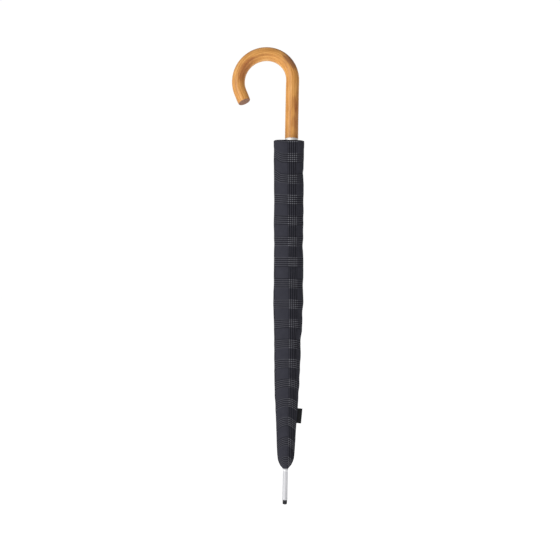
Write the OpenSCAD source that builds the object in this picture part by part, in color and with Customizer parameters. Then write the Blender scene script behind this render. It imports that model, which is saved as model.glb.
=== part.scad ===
/* [Overall] */
// Height from the foot of the tip cap to the top of the crook
total_h = 900; // [880:1:920]

/* [Handle] */
// Radius of the straight grip
grip_r = 12.8; // [11.8:0.1:12.9]
// Radius of the wood round the bend
crook_r = 13; // [12.3:0.1:14]
// Radius of the bend along the middle of the wood
bend_r = 53.2; // [48:0.1:58]
// Angle that the bend turns through
bend_angle = 204; // [180:1:215]
// Length of wood past the bend
crook_tail = 21.5; // [8:0.5:30]
// Height where the bare wood begins
grip_z = 721; // [719:0.5:723]

/* [Shaft and foot] */
// Radius of the steel shaft
shaft_r = 5; // [4.9:0.1:5]
// Radius of the bare ferrule, which narrows to the shaft's radius under the ring
ferrule_r = 5.2; // [5.2:0.05:5.3]
// Wall thickness of the shaft and of the ferrule
tube_wall = 0.9; // [0.6:0.1:1]
// Height of the tip cap
cap_h = 9; // [7:0.5:12]
// Height of the ring at the top of the bare ferrule
ring_z = 65.5; // [65:0.5:66]
// Height of the ferrule's upper end
ferrule_top = 83.2; // [83:0.1:83.4]

/* [Frame] */
// Number of ribs
rib_count = 8; // [8]
// Height of the rib pivots in the top notch
crown_z = 95; // [94:0.5:96]
// Distance of every pivot line from the shaft's axis
pivot_r = 9; // [8.8:0.1:9.1]
// Length of a stretcher, and of the rib from the notch to its joint
link_len = 280; // [270:1:284]
// Length of a rib
rib_len = 609; // [590:1:610]
// How far the ribs swing out when the umbrella is open
open_angle = 72; // [60:1:75]

/* [Cloth] */
// Thickness of the furled layers of the canopy
furl_t = 4.5; // [2:0.1:4.5]
// Thickness of the sleeve's cloth
sleeve_t = 1; // [0.8:0.1:1.2]
// How far the sleeve's mouth hangs towards the crook
mouth_lean = 5.3; // [0:0.1:6]
// Width of the side label beyond the seam
label_w = 9.5; // [6:0.5:12]

/* [Hidden] */
$fn = 48;

wood = [0.87, 0.63, 0.31];
steel = [0.75, 0.76, 0.78];
dark_steel = [0.28, 0.28, 0.3];
black = [0.06, 0.06, 0.07];
cloth = [0.22, 0.22, 0.25];

step = 360 / rib_count;
bend_z = total_h - bend_r - crook_r;
shaft_top = 790;
collar_z = 710;
tenon_r = 11.3;
// the straight wood widens over this length, and runs a little way inside the bend
bend_run = 22;
bend_lap = 0.5;
bend_step = 0.1;
bore_r = shaft_r - tube_wall;
plug_r = bore_r - 0.6;

// pivots, from the notch up to the runner
joint_z = crown_z + link_len;
runner_z = crown_z + 2 * link_len;
runner_open_z = crown_z + 2 * link_len * cos(open_angle);
wire_r = 0.6;
eye_bore = wire_r + 0.05;
eye_r = 1.8;
eye_t = 1.6;
slot_w = eye_t + 0.2;
slot_in = 6.3;

// a rib is a channel that opens towards the shaft
rib_in = 10.6;
rib_out = 13.4;
rib_w = 3;
groove_w = 1.8;
groove_out = 12.4;
rib_foot = crown_z + 3;
rib_top = crown_z + rib_len;

stretcher_in = 6.6;
stretcher_out = 8.8;

// the runner, measured from its pivots
ring_r = 10.3;
ring_low = 3;
ring_high = 4;
sleeve_r = 7.2;
runner_len = 45;
grip_flange_r = 8.8;
grip_flange_h = 7;

// the spring catches sit between two ribs, on the front
catch_angle = 292.5;
catch_t = 2;
catch_in = 1.2;
catch_out = 3.4;
catch_nose = 8;
catch_pin_x = 2.3;
catch_pin_r = 0.7;
low_pin_z = 644;
low_nose_z = 680;
high_nose_z = runner_open_z + runner_len + 1.35;
high_pin_z = high_nose_z + 36;

// outer outline of the furled canopy above its foot, as [radius, height]
furl_outline = [
    [13.2, 89], [14.9, 98], [15.9, 113], [17.2, 162], [20.5, 225], [23, 323],
    [25, 400], [24, 500], [22, 600], [20.5, 702]];
gore_gap = 1.4;

// outer outline of the sleeve, as [height, half width, half depth]
sleeve_outline = [
    [69.5, 6.6, 6.6], [74.4, 8.6, 8.6], [82.5, 13.2, 13.2], [89, 15.6, 15.6],
    [98, 16.6, 16.6], [113, 17.5, 17.5], [162, 19.5, 19.2], [225, 23.4, 22.6],
    [323, 25.9, 25.2], [400, 28.5, 27.2], [560, 28.5, 27], [690, 28.6, 26.6],
    [717, 29.2, 26.4]];
lean_from = 400;
sleeve_sides = 36;
label_low = 160.5;
label_high = 189.5;

module around(i) {
    rotate([0, 0, step * (i - 1)]) children();
}

// a flat plate standing in the plane of a rib, cut from an outline of [radius, height]
module plate(outline, t) {
    rotate([90, 0, 0]) linear_extrude(t, center = true) polygon(outline);
}

// a pin or bore that crosses the plane of a rib
module cross_pin(x, z, r, len) {
    translate([x, 0, z]) rotate([90, 0, 0]) cylinder(r = r, h = len, center = true);
}

module tube(r_out, r_in, z, h) {
    translate([0, 0, z]) difference() {
        cylinder(r = r_out, h = h);
        translate([0, 0, -1]) cylinder(r = r_in, h = h + 2);
    }
}

// a wire bent into a polygon with one straight side at each rib
module wire_loop(z, r) {
    side = 2 * pivot_r * tan(step / 2) + 0.3;
    for (i = [1:rib_count]) around(i) cross_pin(pivot_r, z, r, side);
}

module crook_handle() color(wood) difference() {
    union() {
        translate([0, 0, collar_z + 2]) cylinder(r = tenon_r, h = 20);
        translate([0, 0, grip_z]) cylinder(r = grip_r, h = bend_z - grip_z - bend_run);
        translate([0, 0, bend_z - bend_run])
            cylinder(r1 = grip_r, r2 = crook_r - bend_step, h = bend_run + bend_lap);
        translate([-bend_r, 0, bend_z]) rotate([90, 0, 0]) {
            rotate_extrude(angle = bend_angle) translate([bend_r, 0]) circle(crook_r);
            rotate([0, 0, bend_angle]) translate([bend_r, -bend_lap, 0]) rotate([-90, 0, 0]) {
                cylinder(r = crook_r - bend_step, h = bend_lap + crook_tail - 1.5);
                translate([0, 0, bend_lap + crook_tail - 1.5])
                    cylinder(r1 = crook_r - bend_step, r2 = crook_r - 1.5, h = 1.5);
            }
        }
    }
    translate([0, 0, collar_z]) cylinder(r = shaft_r, h = shaft_top - collar_z);
}

module handle_collar() color(steel) difference() {
    translate([0, 0, collar_z]) cylinder(r = grip_r + 0.2, h = grip_z - collar_z);
    translate([0, 0, collar_z - 1]) cylinder(r = shaft_r, h = 20);
    translate([0, 0, collar_z + 2]) cylinder(r = tenon_r, h = 20);
}

module shaft_tube() color(steel) difference() {
    union() {
        tube(shaft_r, plug_r, ferrule_top, shaft_top - ferrule_top);
        tube(bore_r, plug_r, 50, ferrule_top - 50 + 1);
    }
    translate([0, 0, ferrule_top + 30]) cylinder(r = bore_r, h = shaft_top);
    rotate([0, 0, catch_angle]) {
        translate([0, -1.2, low_pin_z - 3]) cube([6, 2.4, low_nose_z - low_pin_z + 5]);
        translate([0, -1.2, high_nose_z - 2]) cube([6, 2.4, high_pin_z - high_nose_z + 5]);
        cross_pin(catch_pin_x, low_pin_z, catch_pin_r, 12);
        cross_pin(catch_pin_x, high_pin_z, catch_pin_r, 12);
    }
    stop_pin();
}

// a pin straight through the shaft, below the open runner and between two ribs
module stop_pin() {
    rotate([0, 0, step / 2]) translate([0, 0, runner_open_z - 5.6])
        rotate([0, 90, 0]) cylinder(r = 1, h = 13, center = true);
}

module runner_stop_pin() color(steel) stop_pin();

module top_notch() color(dark_steel) difference() {
    union() {
        translate([0, 0, ferrule_top + 1.2]) cylinder(r = 6.9, h = 8);
        translate([0, 0, crown_z - 3.5]) cylinder(r = 11, h = 5.4);
    }
    translate([0, 0, ferrule_top]) cylinder(r = shaft_r, h = 30);
    for (i = [1:rib_count]) around(i)
        translate([slot_in, -slot_w / 2, crown_z - 2.2]) cube([6, slot_w, 6]);
    wire_loop(crown_z, wire_r);
}

module notch_wire() color(steel) wire_loop(crown_z, wire_r);

module canopy_rosette() color(black) tube(9.5, shaft_r, ferrule_top, 1.2);

module ferrule_tube() color(steel) {
    tube(ferrule_r, bore_r, cap_h, ring_z - cap_h);
    tube(shaft_r, bore_r, ring_z - 5, ferrule_top - ring_z + 5);
}

module ferrule_ring() color(steel) tube(ferrule_r + 0.35, shaft_r, ring_z, 3.7);

module tip_cap() color(black) rotate_extrude() polygon([
    [0, 0], [3.2, 0], [4.0, 0.9], [4.35, cap_h - 0.6], [4.35, cap_h],
    [bore_r, cap_h], [bore_r, cap_h + 13], [0, cap_h + 13]]);

module catch_pins() color(steel) rotate([0, 0, catch_angle]) {
    cross_pin(catch_pin_x, low_pin_z, catch_pin_r, 8);
    cross_pin(catch_pin_x, high_pin_z, catch_pin_r, 8);
}

// a leaf with a sloping nose; up is 1 when the leaf points towards the handle
module catch_leaf(pin_z, nose_z, up) {
    rotate([0, 0, catch_angle]) difference() {
        plate([
            [catch_in, pin_z - 2 * up], [catch_out, pin_z - 2 * up],
            [catch_out, nose_z - 15 * up], [catch_nose, nose_z], [catch_in, nose_z]], catch_t);
        cross_pin(catch_pin_x, pin_z, catch_pin_r + 0.05, 4);
    }
}

module lower_catch() color(steel) catch_leaf(low_pin_z, low_nose_z, 1);

module upper_catch() color(steel) catch_leaf(high_pin_z, high_nose_z, -1);

module runner() color(dark_steel) difference() {
    translate([0, 0, runner_z]) {
        translate([0, 0, -ring_low]) cylinder(r = ring_r, h = ring_low + ring_high);
        cylinder(r = sleeve_r, h = runner_len);
        translate([0, 0, runner_len - grip_flange_h])
            cylinder(r = grip_flange_r, h = grip_flange_h);
    }
    translate([0, 0, runner_z - 10]) cylinder(r = shaft_r + 0.06, h = runner_len + 20);
    for (i = [1:rib_count]) around(i)
        translate([slot_in, -slot_w / 2, runner_z - 6]) cube([6, slot_w, 8]);
    wire_loop(runner_z, wire_r);
    rotate([0, 0, catch_angle])
        translate([4, -1.5, low_nose_z - 14]) cube([6, 3, 15]);
}

module runner_wire() color(steel) wire_loop(runner_z, wire_r);

module rib(i) color(dark_steel) around(i) difference() {
    union() {
        cross_pin(pivot_r, crown_z, eye_r, eye_t);
        plate([
            [7.8, crown_z + 0.9], [7.8, crown_z + 4], [rib_in, crown_z + 7],
            [rib_out, crown_z + 7], [rib_out, rib_foot], [10.2, crown_z + 0.9]], eye_t);
        translate([rib_in, -rib_w / 2, rib_foot])
            cube([rib_out - rib_in, rib_w, rib_top - rib_foot]);
        translate([7.2, -rib_w / 2, joint_z - 4]) cube([rib_in - 7.2 + 0.5, rib_w, 8]);
    }
    cross_pin(pivot_r, crown_z, eye_bore, 4);
    translate([rib_in - 0.01, -groove_w / 2, crown_z + 8])
        cube([groove_out - rib_in + 0.01, groove_w, rib_top]);
    translate([7, -groove_w / 2, joint_z - 5]) cube([4, groove_w, 10]);
    cross_pin(pivot_r, joint_z, wire_r, 4);
}

module rib_tip(i) color(steel) around(i) translate([(rib_in + rib_out) / 2, 0, rib_top]) {
    cylinder(r = 2.1, h = 2);
    translate([0, 0, 2]) sphere(r = 2.1);
}

module rib_rivet(i) color(steel) around(i) {
    cross_pin(pivot_r, joint_z, wire_r, rib_w + 1.2);
    for (y = [-1, 1]) translate([0, y * (rib_w / 2 + 0.3), 0])
        cross_pin(pivot_r, joint_z, 1.2, 0.6);
}

module stretcher(i) color(dark_steel) around(i) difference() {
    union() {
        for (z = [joint_z, runner_z]) cross_pin(pivot_r, z, eye_r - 0.1, eye_t);
        translate([stretcher_in, -eye_t / 2, joint_z])
            cube([stretcher_out - stretcher_in, eye_t, link_len]);
    }
    for (z = [joint_z, runner_z]) cross_pin(pivot_r, z, eye_bore, 4);
}

// the inner face keeps clear of the ribs and follows the outer face above them
function furl_in(r) = max(r - furl_t, min(r - 1, 13.9));

module canopy_gore(i) color(cloth) around(i) rotate([0, 0, gore_gap / 2])
    rotate_extrude(angle = step - gore_gap) polygon(concat(
        [[7.2, 84.8], [11, 85.4]],
        furl_outline,
        [for (k = [len(furl_outline) - 1:-1:1]) [furl_in(furl_outline[k][0]), furl_outline[k][1]]],
        [[12.2, 90], [10.4, 86.6], [7.2, 86]]));

function lean(z) = z < lean_from ? 0 : mouth_lean * (z - lean_from) / (717 - lean_from);

function cloth_ring(row, inset) = [
    for (k = [0:sleeve_sides - 1]) let (a = 360 * k / sleeve_sides)
        [(row[1] - inset) * cos(a) - lean(row[0]), (row[2] - inset) * sin(a), row[0]]];

// one closed skin: up the outside, over the hem and down the inside
module sleeve_cover() color(cloth) {
    rows = len(sleeve_outline);
    rings = concat(
        [for (k = [0:rows - 1]) cloth_ring(sleeve_outline[k], 0)],
        [for (k = [rows - 1:-1:0]) cloth_ring(sleeve_outline[k], sleeve_t)]);
    n = len(rings);
    s = sleeve_sides;
    polyhedron(
        points = [for (ring = rings) for (p = ring) p],
        faces = [for (i = [0:n - 1]) for (k = [0:s - 1]) let (up = (i + 1) % n, next = (k + 1) % s)
            each [[i * s + k, up * s + k, up * s + next], [i * s + k, up * s + next, i * s + next]]]);
}

function seam_x(z) = lookup(z, [for (row = sleeve_outline) [row[0], row[1]]]);

module sleeve_label() color(black) plate([
    [seam_x(label_low), label_low], [seam_x(label_low) + label_w, label_low],
    [seam_x(label_high) + label_w, label_high], [seam_x(label_high), label_high],
    [seam_x(162), 162]], 1.2);

module tie_strap() color(cloth) around(7) translate([14.2, -4.5, 636]) cube([0.8, 9, 54]);

crook_handle();
handle_collar();
shaft_tube();
runner_stop_pin();
top_notch();
notch_wire();
canopy_rosette();
ferrule_tube();
ferrule_ring();
tip_cap();
catch_pins();
lower_catch();
upper_catch();
runner();
runner_wire();
for (i = [1:rib_count]) {
    rib(i);
    rib_tip(i);
    rib_rivet(i);
    stretcher(i);
    canopy_gore(i);
}
sleeve_cover();
sleeve_label();
tie_strap();
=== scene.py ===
import math

import bpy
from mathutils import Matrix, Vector, noise


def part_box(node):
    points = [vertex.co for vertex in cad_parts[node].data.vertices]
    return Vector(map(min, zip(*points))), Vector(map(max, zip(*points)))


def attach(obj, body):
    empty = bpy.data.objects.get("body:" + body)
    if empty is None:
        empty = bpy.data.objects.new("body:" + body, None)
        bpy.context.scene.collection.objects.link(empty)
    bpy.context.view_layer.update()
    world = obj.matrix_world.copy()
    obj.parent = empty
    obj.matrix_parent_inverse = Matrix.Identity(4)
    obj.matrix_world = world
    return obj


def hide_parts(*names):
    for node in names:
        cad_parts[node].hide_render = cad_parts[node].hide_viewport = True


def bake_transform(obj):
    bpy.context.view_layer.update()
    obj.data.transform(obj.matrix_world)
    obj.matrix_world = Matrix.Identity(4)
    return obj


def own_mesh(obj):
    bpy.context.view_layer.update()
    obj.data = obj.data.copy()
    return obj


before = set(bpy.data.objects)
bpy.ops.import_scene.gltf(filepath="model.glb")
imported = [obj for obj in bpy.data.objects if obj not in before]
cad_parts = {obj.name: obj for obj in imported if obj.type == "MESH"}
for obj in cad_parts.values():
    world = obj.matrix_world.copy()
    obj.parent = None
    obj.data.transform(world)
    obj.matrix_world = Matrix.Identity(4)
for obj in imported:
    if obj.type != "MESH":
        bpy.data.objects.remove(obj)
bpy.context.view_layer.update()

MM = 0.001
RIBS = 8
STEP = math.tau / RIBS

# ---------------------------------------------------------------- camera, floor and light

def aim(name, data, place, target):
    """A light in its place, turned towards its target."""
    made = bpy.data.objects.new(name, data)
    bpy.context.scene.collection.objects.link(made)
    made.location = place
    made.rotation_euler = (Vector(target) - Vector(place)).to_track_quat("-Z", "Y").to_euler()


def camera():
    """Level and square to the crook's plane, tipped by a degree."""
    distance = 1.3
    field = 1.1058       # width of the view at the crook's plane
    tip = math.radians(-1.06)
    data = bpy.data.cameras.new("camera")
    data.sensor_width = 36
    data.lens = data.sensor_width * distance / field
    made = bpy.data.objects.new("camera", data)
    bpy.context.scene.collection.objects.link(made)
    made.location = (-0.0176, -distance, 0.442)
    made.rotation_euler = (math.radians(90), tip, 0)
    bpy.context.scene.camera = made


def soft_light(name, place, size, power):
    """A round soft light that faces the middle of the umbrella."""
    data = bpy.data.lights.new(name, "AREA")
    data.shape = "DISK"
    data.size = size
    data.energy = power
    aim(name, data, place, (0, 0, 0.5))


def studio():
    """A white tent, brightest at the left, in front and above, two soft lights, and a floor."""
    floor_z = -0.72
    scene = bpy.context.scene
    scene.view_settings.view_transform = "Standard"
    scene.world = bpy.data.worlds.new("studio")
    scene.world.use_nodes = True
    g = Graph(scene.world)
    seen = g.node("ShaderNodeLightPath", out="Is Camera Ray")
    mirrored = g.node("ShaderNodeLightPath", out="Is Glossy Ray")
    ways = g.node("ShaderNodeTexCoord", out="Generated")
    side = g.node("ShaderNodeSeparateXYZ", {}, {0: ways}, out="X")
    depth = g.node("ShaderNodeSeparateXYZ", {}, {0: ways}, out="Y")
    height = g.node("ShaderNodeSeparateXYZ", {}, {0: ways}, out="Z")
    tent = 0.18 - side * 0.18 - depth * 0.13 + height * 0.10 + mirrored * 0.42
    strength = tent * (1 - seen) + seen * 1.02
    g.node("ShaderNodeBackground", {}, {"Color": (1, 1, 1, 1), "Strength": strength}, name="sky")
    g.join("sky", "Background", "World Output", "Surface")
    soft_light("key", (-2.1, -2.2, 1.2), size=1.3, power=48)
    soft_light("back", (1.6, 2.4, 1.6), size=1.6, power=9)
    bpy.ops.mesh.primitive_plane_add(size=60, location=(0, 0, floor_z))
    floor = bpy.context.object
    floor.name = "floor"
    bpy.ops.object.transform_apply(location=True, rotation=True, scale=True)
    paper = Graph(new_material("floor_paper"))
    grain = paper.node("ShaderNodeTexNoise", {}, {"Vector": paper.place(), "Scale": 3.0})
    paper.shade(
        {"Base Color": paper.blend(grain, (0.93, 0.93, 0.93, 1), (0.96, 0.96, 0.96, 1)),
         "Roughness": 0.9, "Emission Color": (1, 1, 1, 1), "Emission Strength": 0.78})
    floor.data.materials.append(paper.owner)


# ---------------------------------------------------------------- shader nodes

class Value:
    """A node's output that can be used in sums."""

    def __init__(self, graph, socket):
        self.graph = graph
        self.socket = socket

    def sum(self, operation, a, b=None):
        values = {0: a} if b is None else {0: a, 1: b}
        return self.graph.node("ShaderNodeMath", {"operation": operation}, values)

    def __add__(self, other):
        return self.sum("ADD", self, other)

    def __radd__(self, other):
        return self.sum("ADD", other, self)

    def __sub__(self, other):
        return self.sum("SUBTRACT", self, other)

    def __rsub__(self, other):
        return self.sum("SUBTRACT", other, self)

    def __mul__(self, other):
        return self.sum("MULTIPLY", self, other)

    def __rmul__(self, other):
        return self.sum("MULTIPLY", other, self)

    def __truediv__(self, other):
        return self.sum("DIVIDE", self, other)

    def __pow__(self, other):
        return self.sum("POWER", self, other)

    def __abs__(self):
        return self.sum("ABSOLUTE", self)

    def __mod__(self, other):
        return self.sum("FLOORED_MODULO", self, other)


class Graph:
    """The nodes of one material or of the world."""

    def __init__(self, owner):
        self.owner = owner
        self.tree = owner.node_tree
        self.named = {n.name: n for n in self.tree.nodes}

    def node(self, kind, settings=None, values=None, out=0, name=None):
        made = self.tree.nodes.new(kind)
        for key, setting in (settings or {}).items():
            if key == "stops":
                ramp = made.color_ramp
                while len(ramp.elements) < len(setting):
                    ramp.elements.new(0.5)
                for element, (at, colour) in zip(ramp.elements, setting):
                    element.position = at
                    element.color = colour
            else:
                setattr(made, key, setting)
        for key, value in (values or {}).items():
            socket = made.inputs[key]
            if isinstance(value, Value):
                self.tree.links.new(value.socket, socket)
            else:
                socket.default_value = value
        if name:
            self.named[name] = made
        return Value(self, made.outputs[out]) if made.outputs else None

    def join(self, source, output, target, socket):
        self.tree.links.new(self.named[source].outputs[output], self.named[target].inputs[socket])

    def place(self):
        return self.node("ShaderNodeTexCoord", out="Object")

    def blend(self, share, a, b):
        return self.node("ShaderNodeMix", {"data_type": "RGBA"}, {0: share, 6: a, 7: b}, out=2)

    def ramp(self, share, stops):
        return self.node("ShaderNodeValToRGB", {"stops": stops}, {0: share})

    def smooth(self, value, low, high):
        return self.node("ShaderNodeMapRange", {"interpolation_type": "SMOOTHSTEP"},
                         {"Value": value, "From Min": low, "From Max": high})

    def stretch(self, vector, scale):
        return self.node("ShaderNodeMapping", {}, {"Vector": vector, "Scale": scale})

    def grain(self, vector, scale, detail=3.0, rough=0.5):
        return self.node("ShaderNodeTexNoise", {},
                         {"Vector": vector, "Scale": scale, "Detail": detail, "Roughness": rough})

    def bump(self, height, strength, distance):
        return self.node("ShaderNodeBump", {},
                         {"Height": height, "Strength": strength, "Distance": distance})

    def shade(self, values):
        principled = self.named["Principled BSDF"]
        for key, value in values.items():
            if isinstance(value, Value):
                self.tree.links.new(value.socket, principled.inputs[key])
            else:
                principled.inputs[key].default_value = value
        return self.owner


def new_material(name):
    made = bpy.data.materials.new(name)
    made.use_nodes = True
    return made


# ---------------------------------------------------------------- finishes

CHECK = 41 * MM          # repeat of the check up the cloth
CHECK_ROUND = 51 * MM    # and round it
BAND = 19 * MM           # width of the striped band in it
PITCH = 3.95 * MM        # from one stripe to the next
THREAD = 0.9 * MM        # from one thread of the weave to the next


def band_and_stripe(g, along, repeat):
    """Where the striped band is, and its stripes, for one direction of the cloth."""
    edge = 0.6 * MM
    at = abs(((along / repeat + 0.5) % 1.0) - 0.5) * repeat
    band = 1 - g.smooth(at, BAND / 2 - edge, BAND / 2 + edge)
    stripe = g.node("ShaderNodeMath", {"operation": "COSINE"}, {0: along * (math.tau / PITCH)})
    return band, stripe * 0.5 + 0.5


def check_cloth(name, uv_name, pale=1.0):
    """Charcoal glen check: bands of fine pale stripes both ways, brightest where they cross."""
    g = Graph(new_material(name))
    uv = g.node("ShaderNodeUVMap", {"uv_map": uv_name})
    wander = g.grain(uv, 24.0, 2.0) - 0.5
    u = g.node("ShaderNodeSeparateXYZ", {}, {0: uv}, out="X") + wander * (1.2 * MM)
    v = g.node("ShaderNodeSeparateXYZ", {}, {0: uv}, out="Y") + wander * (1.4 * MM)
    across, stripe_u = band_and_stripe(g, u, CHECK_ROUND)
    down, stripe_v = band_and_stripe(g, v, CHECK)
    lines_u = across * (stripe_u ** 2.2)
    lines_v = down * (stripe_v ** 2.2)
    gaps = across * (1 - lines_u) * 0.92 + down * (1 - lines_v) * 0.72
    cross = lines_u * lines_v
    thread_u = g.node("ShaderNodeMath", {"operation": "SINE"}, {0: u * (math.tau / THREAD)})
    thread_v = g.node("ShaderNodeMath", {"operation": "SINE"}, {0: v * (math.tau / THREAD)})
    weave = thread_u * thread_v
    patch = g.grain(uv, 60.0, 4.0, 0.6)
    light = lines_v * (0.15 * pale) + lines_u * (0.05 * pale) + cross * (0.46 * pale)
    light = light * (0.6 + patch * 0.8) + weave * 0.015
    cloth = g.blend(patch, (0.0280, 0.0280, 0.0365, 1), (0.0425, 0.0425, 0.0545, 1))
    cloth = g.blend(gaps, cloth, (0.007, 0.007, 0.010, 1))
    cloth = g.blend(light, cloth, (0.30, 0.30, 0.335, 1))
    height = weave * 0.5 + lines_v * 0.25 + lines_u * 0.2 + patch * 0.4
    return g.shade({
        "Base Color": cloth, "Roughness": 0.78 + patch * 0.12, "Specular IOR Level": 0.04,
        "Normal": g.bump(height, 0.35, 0.25 * MM)})


def plain_cloth(name, colour, roughness=0.8, rib=1.1 * MM):
    """Closely woven tape or lining in one yarn."""
    g = Graph(new_material(name))
    place = g.place()
    x = g.node("ShaderNodeSeparateXYZ", {}, {0: place}, out="X")
    z = g.node("ShaderNodeSeparateXYZ", {}, {0: place}, out="Z")
    rows = g.node("ShaderNodeMath", {"operation": "SINE"}, {0: z * (math.tau / rib)})
    threads = g.node("ShaderNodeMath", {"operation": "SINE"}, {0: x * (math.tau / rib)})
    fuzz = g.grain(place, 900.0, 4.0, 0.6)
    dark = tuple(c * 0.6 for c in colour) + (1,)
    light = tuple(c * 1.5 for c in colour) + (1,)
    return g.shade({
        "Base Color": g.blend(fuzz, dark, light), "Roughness": roughness + fuzz * 0.1,
        "Specular IOR Level": 0.2, "Normal": g.bump(rows * threads * 0.5 + fuzz, 0.4, 0.3 * MM)})


def handle_wood():
    """Honey-coloured wood, grain along the stick, scorched at the shoulder and toasted in patches."""
    g = Graph(new_material("honey_wood"))
    line = g.node("ShaderNodeAttribute", {"attribute_name": "grain"}, out="Vector")
    a = g.node("ShaderNodeSeparateXYZ", {}, {0: line}, out="X")
    b = g.node("ShaderNodeSeparateXYZ", {}, {0: line}, out="Y")
    s = g.node("ShaderNodeSeparateXYZ", {}, {0: line}, out="Z")
    broad = g.grain(g.stretch(line, (1, 1, 0.2)), 105.0, 4.0, 0.65)
    fine = g.grain(g.stretch(line, (1, 1, 0.035)), 620.0, 5.0, 0.65)
    cloud = g.grain(g.stretch(line, (1, 1, 0.4)), 38.0, 3.0)
    rings = g.node("ShaderNodeTexWave", {"wave_type": "BANDS", "bands_direction": "X"},
                   {"Vector": g.stretch(line, (1, 1, 0.05)), "Scale": 62.0, "Distortion": 5.0,
                    "Detail": 3.0, "Detail Scale": 1.6})
    tone = broad * 0.5 + fine * 0.35 + rings * 0.1 + cloud * 0.12 - 0.03
    wood = g.ramp(tone, [
        (0.30, (0.36, 0.130, 0.024, 1)), (0.43, (0.53, 0.225, 0.048, 1)),
        (0.56, (0.66, 0.315, 0.080, 1)), (0.70, (0.80, 0.45, 0.150, 1))])
    tatter = g.grain(g.stretch(line, (1, 1, 0.2)), 150.0, 5.0, 0.75)

    def scorch(at_s, half_s, at_a, half_a, at_b, half_b):
        """A soft patch in the stick's own frame: along it, across it, and front to back."""
        far = ((s - at_s) / half_s) ** 2 + ((a - at_a) / half_a) ** 2 + ((b - at_b) / half_b) ** 2
        return 1 - g.smooth(far + (tatter - 0.5) * 3.0, 0.05, 1.3)

    shoulder = BEND_START + math.radians(40) * BEND_R
    inside = BEND_START + math.radians(154) * BEND_R
    marks = scorch(shoulder, 19 * MM, 8 * MM, 11 * MM, -13 * MM, 16 * MM)
    warm = scorch(inside, 38 * MM, -6 * MM, 9 * MM, -10 * MM, 13 * MM) * 1.15
    warm = warm + scorch(34 * MM, 50 * MM, 9 * MM, 6 * MM, -6 * MM, 14 * MM) * 0.8
    warm = warm + scorch(66 * MM, 17 * MM, 4 * MM, 6 * MM, -12 * MM, 9 * MM) * 0.6
    warm = warm + scorch(30 * MM, 15 * MM, 4 * MM, 6 * MM, -12 * MM, 9 * MM) * 0.6
    warm = warm + scorch(150 * MM, 40 * MM, 0, 13 * MM, 12 * MM, 8 * MM) * 0.8
    wood = g.blend(warm * 0.7, wood, (0.34, 0.108, 0.028, 1))
    wood = g.blend(marks * 0.72, wood, (0.165, 0.050, 0.030, 1))
    pores = 1 - g.smooth(fine, 0.34, 0.44)
    wood = g.blend(pores * 0.35, wood, (0.24, 0.09, 0.025, 1))
    return g.shade({
        "Base Color": wood, "Roughness": 0.42 + fine * 0.16, "Coat Weight": 0.12,
        "Coat Roughness": 0.25, "Specular IOR Level": 0.3,
        "Normal": g.bump(fine * 0.6 + broad * 0.5 - pores * 0.5, 0.35, 0.4 * MM)})


def end_grain():
    """The sawn end: rings and pores, darker than the sides."""
    g = Graph(new_material("end_grain"))
    line = g.node("ShaderNodeAttribute", {"attribute_name": "grain"}, out="Vector")
    rings = g.node("ShaderNodeTexWave", {"wave_type": "RINGS", "rings_direction": "Z"},
                   {"Vector": g.stretch(line, (1, 1, 0.02)), "Scale": 120.0, "Distortion": 2.5,
                    "Detail": 3.0})
    pores = g.grain(line, 1400.0, 3.0, 0.7)
    tone = rings * 0.5 + pores * 0.6
    return g.shade({
        "Base Color": g.ramp(tone, [(0.3, (0.13, 0.058, 0.034, 1)), (0.75, (0.33, 0.17, 0.10, 1))]),
        "Roughness": 0.7 + pores * 0.2, "Normal": g.bump(tone, 0.4, 0.3 * MM)})


def metal(name, colour, roughness, run=(1, 1, 0.02), wear=0.25):
    """Drawn or turned metal: fine lines along the draw, faint smudges, brighter wear."""
    g = Graph(new_material(name))
    place = g.place()
    lines = g.grain(g.stretch(place, run), 2600.0, 2.0)
    smudge = g.grain(place, 70.0, 4.0, 0.6)
    dark = tuple(c * (1 - wear) for c in colour) + (1,)
    light = tuple(min(1, c * (1 + wear * 0.4)) for c in colour) + (1,)
    return g.shade({
        "Base Color": g.blend(lines * 0.5 + smudge * 0.5, dark, light), "Metallic": 1.0,
        "Roughness": roughness + smudge * 0.14 + lines * 0.06,
        "Normal": g.bump(lines, 0.08, 0.05 * MM)})


def enamel(name, colour, roughness=0.42):
    """Black enamel on steel, worn thin in specks."""
    g = Graph(new_material(name))
    place = g.place()
    orange_peel = g.grain(place, 1500.0, 2.0)
    specks = g.smooth(g.grain(place, 420.0, 5.0, 0.7), 0.66, 0.72)
    return g.shade({
        "Base Color": g.blend(specks, colour + (1,), (0.30, 0.30, 0.31, 1)),
        "Metallic": 0.15 + specks * 0.8, "Roughness": roughness + orange_peel * 0.12,
        "Normal": g.bump(orange_peel - specks, 0.12, 0.1 * MM)})


def moulded(name, colour, roughness=0.4):
    """Moulded plastic with a fine spark texture, scuffed to grey."""
    g = Graph(new_material(name))
    place = g.place()
    spark = g.grain(place, 1800.0, 3.0, 0.6)
    scuff = g.smooth(g.grain(g.stretch(place, (1, 1, 3)), 260.0, 5.0, 0.7), 0.58, 0.70)
    return g.shade({
        "Base Color": g.blend(scuff * 0.5, colour + (1,), (0.05, 0.05, 0.055, 1)),
        "Roughness": roughness + scuff * 0.2 + spark * 0.1, "Specular IOR Level": 0.3,
        "Normal": g.bump(spark, 0.15, 0.08 * MM)})


# ---------------------------------------------------------------- making pieces

def deselect():
    if bpy.context.mode != "OBJECT":
        bpy.ops.object.mode_set(mode="OBJECT")
    bpy.ops.object.select_all(action="DESELECT")


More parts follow.
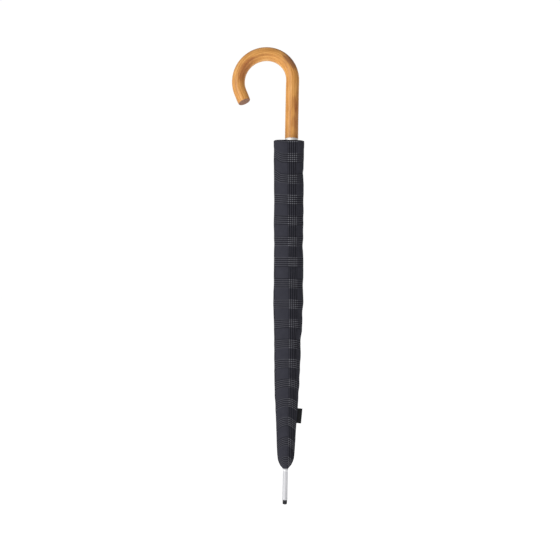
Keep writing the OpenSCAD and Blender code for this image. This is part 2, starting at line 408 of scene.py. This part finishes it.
def settle(made, name, materials):
    """Names a new piece, and leaves it at the origin with its place in its mesh."""
    deselect()
    made.select_set(True)
    bpy.context.view_layer.objects.active = made
    bpy.ops.object.transform_apply(location=True, rotation=True, scale=True)
    made.name = made.data.name = name
    made.data.materials.clear()
    for material in materials:
        made.data.materials.append(material)
    bpy.ops.object.shade_smooth()
    return made


def sheet(name, across, along, place, uv, materials, seam=False):
    """A cloth sheet: a grid whose points go where place(t, s) says, with its own UV map."""
    deselect()
    bpy.ops.mesh.primitive_grid_add(x_subdivisions=across, y_subdivisions=along, size=1)
    made = bpy.context.object
    mesh = made.data
    at = [(v.co.x + 0.5, v.co.y + 0.5) for v in mesh.vertices]
    while mesh.uv_layers:
        mesh.uv_layers.remove(mesh.uv_layers[0])
    layer = mesh.uv_layers.new(name="cloth")
    for loop in mesh.loops:
        layer.data[loop.index].uv = uv(*at[loop.vertex_index])
    for vertex, (t, s) in zip(mesh.vertices, at):
        vertex.co = place(t, s)
    settle(made, name, materials)
    if seam:
        bpy.ops.object.mode_set(mode="EDIT")
        bpy.ops.mesh.select_all(action="SELECT")
        bpy.ops.mesh.remove_doubles(threshold=0.00002)
        bpy.ops.object.mode_set(mode="OBJECT")
    return made


def modifier(made, kind, apply=True, **settings):
    deselect()
    made.select_set(True)
    bpy.context.view_layer.objects.active = made
    added = made.modifiers.new(kind.lower(), kind)
    for key, value in settings.items():
        setattr(added, key, value)
    if apply:
        bpy.ops.object.modifier_apply(modifier=added.name)
    return made


def ease(x, low, high):
    t = min(1, max(0, (x - low) / (high - low)))
    return t * t * (3 - 2 * t)


def through(x, points):
    """Straight-line interpolation in a short list of (x, value)."""
    for (x0, y0), (x1, y1) in zip(points, points[1:]):
        if x <= x1:
            return y0 + (y1 - y0) * (max(x, x0) - x0) / (x1 - x0)
    return points[-1][1]


def rounded(x, points, reach):
    """The same, with its corners rounded over reach either way."""
    around = [-1, -0.5, 0, 0.5, 1]
    return sum(through(x + k * reach, points) for k in around) / len(around)


# ---------------------------------------------------------------- crook handle

wood_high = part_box("crook_handle")[1]
collar_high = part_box("handle_collar")[1]
BEND_R = 53.2 * MM     # of the bend's middle line
CROOK_R = 13 * MM      # of the wood round the bend
GRIP_R = 12.8 * MM     # of the wood above the collar
# radius of the wood by how far round the bend it is, in radians
THICKNESS = [(turn, r * MM) for turn, r in [
    (-2.2, 13.2), (-0.6, 13.1), (0.4, 12.9), (1.5, 13.2), (2.5, 13.0), (3.2, 12.8), (5, 12.6)]]
# how far the bend strays outwards from a true circle, by the same measure
STRAY = [(turn, a * MM) for turn, a in [
    (0.0, 0.0), (0.35, 0.9), (0.7, 1.5), (1.15, 1.4), (1.57, 0.3), (2.0, -0.4), (2.5, -0.4),
    (2.8, 0.0), (3.15, 0.4), (3.45, 1.2), (3.8, 1.4), (4.5, 1.4)]]
BEND_Z = wood_high.z - BEND_R - CROOK_R
BEND_START = BEND_Z - collar_high.z
BEND_TURN = math.radians(204)
TAIL = 21.5 * MM
END_RIM = 1.6 * MM     # of the sawn end, round its two inner rings
END_RING = 4 * MM
END_TILT = 0.12        # the sawn end's rise from back to front, for its depth


def along_stick(p):
    """A point of the handle as (across in the crook's plane, front to back, along)."""
    if p.z <= BEND_Z and p.x > -BEND_R:
        return p.x, p.y, p.z - collar_high.z
    x, z = p.x + BEND_R, p.z - BEND_Z
    turn = math.atan2(z, x) % math.tau
    if turn <= BEND_TURN:
        return math.hypot(x, z) - BEND_R, p.y, BEND_START + turn * BEND_R
    out = Vector((math.cos(BEND_TURN), math.sin(BEND_TURN)))
    on = Vector((-math.sin(BEND_TURN), math.cos(BEND_TURN)))
    at = Vector((x, z))
    return at.dot(out) - BEND_R, p.y, BEND_START + BEND_TURN * BEND_R + at.dot(on)


def from_stick(a, b, s):
    """The way back from along_stick."""
    if s <= BEND_START:
        return Vector((a, b, s + collar_high.z))
    turn = min((s - BEND_START) / BEND_R, BEND_TURN)
    over = s - BEND_START - turn * BEND_R
    out = Vector((math.cos(turn), math.sin(turn)))
    on = Vector((-math.sin(turn), math.cos(turn)))
    x, z = out * (BEND_R + a) + on * over
    return Vector((x - BEND_R, b, z + BEND_Z))


def crook():
    """A ring drawn up into the grip, spun round the bend, drawn on into the tail and capped."""
    deselect()
    bpy.ops.mesh.primitive_circle_add(vertices=56, radius=GRIP_R, location=(0, 0, collar_high.z))
    bpy.ops.object.mode_set(mode="EDIT")
    bpy.ops.mesh.select_all(action="SELECT")
    rises = 16
    bend_steps = 72
    tail_steps = 5
    for _ in range(rises):
        bpy.ops.mesh.extrude_region_move(
            TRANSFORM_OT_translate={"value": (0, 0, BEND_START / rises)})
    bpy.ops.mesh.spin(steps=bend_steps, angle=BEND_TURN, center=(-BEND_R, 0, BEND_Z), axis=(0, 1, 0))
    draw = Vector((-math.sin(BEND_TURN), 0, math.cos(BEND_TURN)))
    for _ in range(tail_steps):
        bpy.ops.mesh.extrude_region_move(
            TRANSFORM_OT_translate={"value": draw * (TAIL / tail_steps)})
    bpy.ops.mesh.edge_face_add()
    for width in (END_RIM, END_RING, END_RING):
        bpy.ops.mesh.inset(thickness=width)
    bpy.ops.mesh.merge(type="CENTER")
    bpy.ops.object.mode_set(mode="OBJECT")
    made = settle(bpy.context.object, "crook_wood", [handle_wood(), end_grain()])
    end_s = BEND_START + BEND_TURN * BEND_R + TAIL
    places = []
    at_end = []
    for vertex in made.data.vertices:
        a, b, s = along_stick(vertex.co)
        at_end.append(s > end_s - 0.01 * MM)
        turned = (s - BEND_START) / BEND_R
        thick = rounded(turned, THICKNESS, 0.25) / GRIP_R
        r = math.hypot(a, b)
        if at_end[-1] and r < GRIP_R - 0.8 * MM:
            s += 0.35 * MM * (1 - (r / GRIP_R) ** 2)
        elif at_end[-1]:
            thick *= 0.975
        # the saw left the end a little out of square, towards the front
        s += END_TILT * b * ease(s, end_s - TAIL, end_s)
        knot = noise.noise(Vector((a * 30, b * 30, s * 22))) * 0.22 * MM
        swell = thick + knot / GRIP_R * min(1, r / GRIP_R)
        places.append((a * swell, b * swell, s, rounded(turned, STRAY, 0.2)))
    mesh = made.data
    grain = mesh.attributes.new("grain", "FLOAT_VECTOR", "POINT")
    for vertex, (a, b, s, stray) in zip(mesh.vertices, places):
        grain.data[vertex.index].vector = (a, b, s)
        vertex.co = from_stick(a + stray, b, s)
    for face in mesh.polygons:
        if all(at_end[i] for i in face.vertices):
            face.material_index = 1
    bpy.ops.object.mode_set(mode="EDIT")
    bpy.ops.mesh.select_all(action="SELECT")
    bpy.ops.mesh.normals_make_consistent(inside=False)
    bpy.ops.object.mode_set(mode="OBJECT")
    modifier(made, "SUBSURF", levels=1, render_levels=1)
    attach(made, "shaft")
    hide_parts("crook_handle")


# ---------------------------------------------------------------- turned pieces of the foot and collar

# outlines as (radius, height above the piece's foot), in millimetres
COLLAR = [
    (5, 0), (12.6, 0), (13, 0.4), (13, 1.6), (12.7, 2.1), (12.7, 9.2), (12.95, 9.6), (13, 10.2),
    (12.9, 10.8), (12.7, 11), (11.3, 11), (11.3, 2), (5, 2), (5, 0)]
FERRULE = [
    (4.1, 0), (5.1, 0), (5.4, 0.3), (5.45, 1), (5.4, 2), (5.2, 2.8), (5.2, 31), (5.2, 56.5),
    (5, 56.5), (5, 74.2), (4.1, 74.2), (4.1, 0)]
RING = [(5, 0), (5.4, 0), (5.55, 0.3), (5.55, 3.4), (5.4, 3.7), (5, 3.7), (5, 0)]
TIP = [
    (0.02, 0.05), (2, 0), (3.4, 0), (4.1, 0.3), (4.4, 0.9), (4.5, 1.8), (4.6, 5.6), (4.5, 5.8),
    (4.5, 6.2), (4.65, 6.4), (4.7, 8.4), (4.6, 9), (4.1, 9), (4.1, 22), (0.02, 22)]


def turned(name, node, outline, material, slot):
    """A piece turned on the lathe: a ring drawn up its outline, and closed on itself or at its poles."""
    deselect()
    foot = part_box(node)[0].z
    radius, height = outline[0]
    bpy.ops.mesh.primitive_circle_add(
        vertices=64, radius=radius * MM, location=(0, 0, foot + height * MM))
    bpy.ops.object.mode_set(mode="EDIT")
    bpy.ops.mesh.select_all(action="SELECT")
    for (r, z), (next_r, next_z) in zip(outline, outline[1:]):
        bpy.ops.mesh.extrude_region_move(
            TRANSFORM_OT_translate={"value": (0, 0, (next_z - z) * MM)})
        bpy.ops.transform.resize(
            value=(next_r / r, next_r / r, 1), center_override=(0, 0, foot + next_z * MM))
    bpy.ops.mesh.select_all(action="SELECT")
    bpy.ops.mesh.remove_doubles(threshold=0.05 * MM)
    bpy.ops.mesh.normals_make_consistent(inside=False)
    bpy.ops.object.mode_set(mode="OBJECT")
    made = settle(bpy.context.object, name, [material])
    bpy.ops.object.shade_smooth_by_angle(angle=math.radians(40))
    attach(made, "shaft")
    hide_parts(node)


def foot_and_collar(bright, satin, banded, plastic):
    """Two beads round the collar, a rolled rim on the ferrule, and a cap with a worn, rounded foot."""
    turned("collar_band", "handle_collar", COLLAR, bright, "bright_steel")
    turned("ferrule_sleeve", "ferrule_tube", FERRULE, satin, "satin_ferrule")
    turned("ferrule_band", "ferrule_ring", RING, banded, "bright_steel")
    turned("tip_foot", "tip_cap", TIP, plastic, "tip_plastic")


# ---------------------------------------------------------------- sleeve

sleeve_low, sleeve_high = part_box("sleeve_cover")
HEM_Z = sleeve_high.z
FOOT_Z = sleeve_low.z + 1.5 * MM
# outline of the sleeve, as (height, half width), and its depth as (height, share of the width)
HALF_WIDTH = [(z * MM, w * MM) for z, w in [
    (71, 5.9), (73, 7.6), (77, 10.9), (83, 13.8), (89, 15.9), (98, 17.0), (113, 18.0),
    (162, 19.8), (225, 23.7), (323, 26.6), (400, 28.6), (560, 28.8), (690, 29.4), (717, 29.8)]]
DEPTH_SHARE = [(FOOT_Z, 1.0), (0.162, 0.98), (0.323, 0.96), (0.5, 0.94), (0.69, 0.90), (HEM_Z, 0.80)]
LEAN = 5.0 * MM      # of the mouth, to the left
LEAN_FROM = 0.4      # height where it starts
# hollows in the right-hand side and swellings in the left, as (height, depth, half height)
HOLLOWS = [(z * MM, d * MM, h * MM) for z, d, h in [
    (655, 1.3, 6), (600, 0.7, 12), (510, 1.5, 13), (320, 1.8, 15), (430, 1.2, 14), (380, 1.2, 10),
    (215, 0.9, 12)]]
SWELLS = [(z * MM, d * MM, h * MM) for z, d, h in [(395, 1.9, 36), (555, 1.2, 28)]]
# how much lower the weave lies at the sides than at the front, as (height, drop)
DROOP = [(z, d * MM) for z, d in [(0.09, 17), (0.16, 15), (0.25, 9), (0.36, 3.5), (0.44, 0), (0.66, -5)]]


def sleeve_middle(z):
    return -LEAN * max(0, (z - LEAN_FROM) / (HEM_Z - LEAN_FROM))


def mouth_drop(turn, z):
    """The mouth hangs a little lower at the front and back than at the seams."""
    return 3.1 * MM * (1 - 0.35 * math.sin(turn) ** 2) * ease(z, 0.66, HEM_Z)


def sleeve_point(turn, z, inset=0.0):
    """A point on the sleeve; turn is 0 at the front and grows to the right."""
    across, front = math.sin(turn), -math.cos(turn)
    half = rounded(z, HALF_WIDTH, 4 * MM if z > 0.1 else 1.2 * MM) - inset
    deep = half * rounded(z, DEPTH_SHARE, 10 * MM)
    # folds that run round the cloth, strongest on the right, fading at both ends
    held = ease(z, 0.10, 0.16) * (1 - ease(z, HEM_Z - 0.035, HEM_Z - 0.012))
    dent = sum(d * math.exp(-((z - at) / h) ** 2) for at, d, h in HOLLOWS) * ease(across, 0.1, 0.95)
    dent -= sum(d * math.exp(-((z - at) / h) ** 2) for at, d, h in SWELLS) * ease(-across, 0.1, 0.95)
    slack = noise.noise(Vector((across * 1.6, front * 1.6 + 7, z * 17))) * 0.9 * MM + 0.4 * MM
    crease = abs(noise.noise(Vector((across * 1.1 + 3, front * 1.1, z * 38)))) * 1.0 * MM
    pull = (slack - crease) * held - dent * held
    puckered = (1 - ease(z, 0.074, 0.115)) * ease(z, FOOT_Z, FOOT_Z + 6 * MM)
    gather = 0.35 * MM * math.sin(turn * 9) * puckered
    hem = 0.35 * MM * ease(z, HEM_Z - 13.5 * MM, HEM_Z - 12.5 * MM)
    grow = pull + gather + hem
    flat = ease(z, 0.66, HEM_Z)
    boxy = (abs(across) ** 3 + abs(front) ** 3) ** (-1 / 3)
    swell = 1 + (boxy - 1) * flat
    return Vector((
        (half + grow) * across * swell + sleeve_middle(z), (deep + grow) * front * swell,
        z - mouth_drop(turn, z)))


def cloth_height(z):
    return (z - 0.396) * (1.0165 if z > 0.396 else 1.074)


def sleeve_uv(turn, z):
    """Round and up the cloth, in metres: the weave sags at the sides and curls up by the hem."""
    half = through(z, HALF_WIDTH)
    side = math.sin(turn)
    droop = through(z, DROOP)
    curl = 7 * MM * ease(z, 0.60, 0.66) * ease(-side, 0.45, 1.0)
    ripple = noise.noise(Vector((side * 0.9, 3.0, z * 9))) * 1.3 * MM
    group = through(z, [(0.14, 13.4 * MM), (0.60, 6.6 * MM)])
    height = cloth_height(z - mouth_drop(turn, z))
    return turn * half - group, height + droop * side * side - curl + ripple


def sleeve(cloth, tape):
    """A tube of cloth with one seam on the right, a turned hem at its mouth and a gathered foot."""
    first, last = math.radians(-270), math.radians(90)

    def turn_at(t):
        return first + (last - first) * t

    def height_at(s):
        bunched = 0.18       # share of the rows that lie in the gathered foot
        foot = 0.04
        if s < bunched:
            return FOOT_Z + foot * (s / bunched)
        return FOOT_Z + foot + (HEM_Z - FOOT_Z - foot) * (s - bunched) / (1 - bunched)

    made = sheet(
        "sleeve_cloth", 112, 220, lambda t, s: sleeve_point(turn_at(t), height_at(s)),
        lambda t, s: sleeve_uv(turn_at(t), height_at(s)), [cloth, tape], seam=True)
    modifier(made, "SOLIDIFY", thickness=0.7 * MM, offset=-1, material_offset=1, material_offset_rim=0)
    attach(made, "sleeve")
    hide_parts("sleeve_cover")
    return made


def seam_rib(cloth):
    """The turned allowance of the seam: a narrow fold that stands up along the right-hand side."""
    low, high = FOOT_Z + 16 * MM, HEM_Z - 1 * MM

    def place(t, s):
        z = low + (high - low) * s
        angle = math.pi * (t - 0.5)
        base = sleeve_point(math.radians(90), z, 0.35 * MM)
        return base + Vector((0.55 * MM * math.cos(angle), 0.9 * MM * math.sin(angle), 0))

    made = sheet("sleeve_seam", 8, 200, place,
                 lambda t, s: (t * 2.5 * MM + 20 * MM, cloth_height(low + (high - low) * s)), [cloth])
    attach(made, "sleeve")
    return made


def side_label(tape):
    """A folded loop of black tape, sewn into the seam and tipped a little downwards."""
    low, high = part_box("sleeve_label")
    reach = 10.8 * MM
    tall = high.z - low.z
    middle = (low.z + high.z) / 2
    turns = 14

    def place(t, s):
        z = middle + tall * (s - 0.5)
        base = sleeve_point(math.radians(90), z)
        side = 1 if t < 0.5 else -1
        run = 1 - abs(2 * t - 1)
        out = reach * min(1, run * 1.02)
        tip = ease(run, 0.88, 1.0)
        gap = 0.55 * MM * math.sqrt(max(0, 1 - tip ** 2)) + 0.02 * MM
        curl = 0.8 * MM * math.sin(run * 2.2) * (s - 0.3)
        lift = -0.07 * out
        return Vector((base.x - 1.6 * MM + out, side * gap + curl, z + lift))

    made = sheet("sleeve_tape_loop", 2 * turns, 24, place,
                 lambda t, s: (t * 24 * MM, s * tall), [tape])
    modifier(made, "SOLIDIFY", thickness=0.3 * MM, offset=0)
    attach(made, "sleeve")
    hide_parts("sleeve_label")
    return made


# ---------------------------------------------------------------- canopy

CROWN_Z = 95 * MM
VALLEY = [(z * MM, r * MM) for z, r in [(90.5, 12.9), (98, 14.2), (720, 14.2)]]
LOBE = [(z * MM, h * MM) for z, h in [
    (92, 0.0), (98, 1.0), (113, 2.2), (162, 3.5), (225, 6.6), (323, 9.1), (400, 11.0),
    (500, 10.0), (600, 8.0), (702, 6.5)]]
GORE_FOOT = 90.5 * MM
GORE_TOP = 702 * MM


def furled(w):
    """Where cloth that opens out to share w lies across the fold: an inverse smooth step."""
    return 0.5 - math.sin(math.asin(1 - 2 * w) / 3)


def gore(i, cloth):
    """One gore, furled: a soft lobe between two ribs, deeper in the middle of its length."""
    middle = STEP * (i - 0.5)
    out = Vector((math.cos(middle), math.sin(middle), 0))
    along = Vector((-math.sin(middle), math.cos(middle), 0))

    def height(t, s):
        scoop = 0.066 * 4 * t * (1 - t)
        return GORE_FOOT + (GORE_TOP - GORE_FOOT) * (1 - scoop) * s

    def place(t, s):
        z = height(t, s)
        valley = through(z, VALLEY)
        side = valley * math.sin(STEP / 2) * (2 * furled(t) - 1)
        crest = 4 * t * (1 - t)
        pleat = 0.35 * MM * math.sin(t * math.tau * 3 + i) * ease(z, 0.15, 0.3) * crest
        depth = valley * math.cos(STEP / 2) + rounded(z, LOBE, 6 * MM) * crest + pleat
        return out * depth + along * side + Vector((0, 0, z))

    def uv(t, s):
        reach = height(t, s) - CROWN_Z
        return (t - 0.5) * 0.728 * max(reach, 0.002), reach + 0.02

    made = sheet(f"canopy_cloth_{i}", 28, 90, place, uv, [cloth])
    modifier(made, "SOLIDIFY", thickness=0.3 * MM, offset=0)
    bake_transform(made)
    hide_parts(f"canopy_gore_{i}")
    return made


def crown_patch(cloth):
    """The cap of cloth where the gores meet round the notch."""
    outline = [(7.3, 84.9), (9.5, 85.1), (11.2, 85.7), (12.3, 87.2), (12.9, 89.2), (13.0, 91.0)]

    def place(t, s):
        at = s * (len(outline) - 1)
        r = through(at, [(k, p[0]) for k, p in enumerate(outline)]) * MM
        z = through(at, [(k, p[1]) for k, p in enumerate(outline)]) * MM
        r += 0.12 * MM * math.cos(t * math.tau * RIBS) * s
        return Vector((r * math.cos(t * math.tau), r * math.sin(t * math.tau), z))

    made = sheet("crown_patch", 96, 15, place,
                 lambda t, s: (t * 80 * MM, s * 10 * MM), [cloth], seam=True)
    modifier(made, "SOLIDIFY", thickness=0.3 * MM, offset=0)
    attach(made, "shaft")
    return made


def tie(tape):
    """The tie strap, sewn on beside a rib near the hem and hanging down its valley."""
    low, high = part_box("tie_strap")
    front = -(low.y + high.y) / 2
    tall = high.z - low.z

    def place(t, s):
        z = low.z + tall * s
        wave = 0.25 * MM * math.sin(s * 9)
        return Vector(((t - 0.5) * 8.6 * MM, -front - wave - 0.1 * MM, z))

    made = sheet("strap_tape", 10, 60, place, lambda t, s: (t * 9 * MM, s * tall), [tape])
    modifier(made, "SOLIDIFY", thickness=0.6 * MM, offset=0)
    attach(made, "rib_7")
    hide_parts("tie_strap")
    return made


# ---------------------------------------------------------------- putting it together

def dress(nodes, material):
    for node in nodes:
        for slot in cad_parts[node].material_slots:
            slot.material = material


def numbered(stem):
    return [f"{stem}_{i}" for i in range(1, RIBS + 1)]


camera()
studio()

check = check_cloth("glen_check", "cloth")
canopy_check = check_cloth("canopy_check", "cloth", pale=0.85)
lining = plain_cloth("lining", (0.020, 0.020, 0.025))
tape = plain_cloth("label_tape", (0.006, 0.006, 0.007), roughness=0.6)

bright = metal("bright_steel", (0.90, 0.88, 0.85), 0.52, wear=0.1)
satin = metal("satin_ferrule", (0.60, 0.60, 0.62), 0.40, wear=0.12)
dress(["shaft_tube"], metal("shaft_steel", (0.58, 0.59, 0.61), 0.28))
dress(["runner_stop_pin", "notch_wire", "runner_wire", "catch_pins", "lower_catch", "upper_catch"], bright)
dress(numbered("rib_rivet") + numbered("rib_tip"), metal("tip_steel", (0.70, 0.70, 0.72), 0.25))
dress(["top_notch", "runner"], moulded("runner_black", (0.014, 0.014, 0.016)))
dress(numbered("rib") + numbered("stretcher"), enamel("rib_enamel", (0.018, 0.018, 0.020)))
dress(["canopy_rosette"], plain_cloth("rosette_felt", (0.012, 0.012, 0.013), 0.85, 0.7 * MM))

crook()
banded = metal("ring_steel", (0.72, 0.72, 0.73), 0.42, run=(1, 1, 8), wear=0.1)
foot_and_collar(bright, satin, banded, moulded("tip_plastic", (0.006, 0.006, 0.010), 0.33))
cover = sleeve(check, lining)
seam_rib(check)
side_label(tape)
for number in range(1, RIBS + 1):
    gore(number, canopy_check)
crown_patch(canopy_check)
tie(tape)

for soft in (cover, bpy.data.objects["sleeve_seam"], bpy.data.objects["sleeve_tape_loop"]):
    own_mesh(soft)
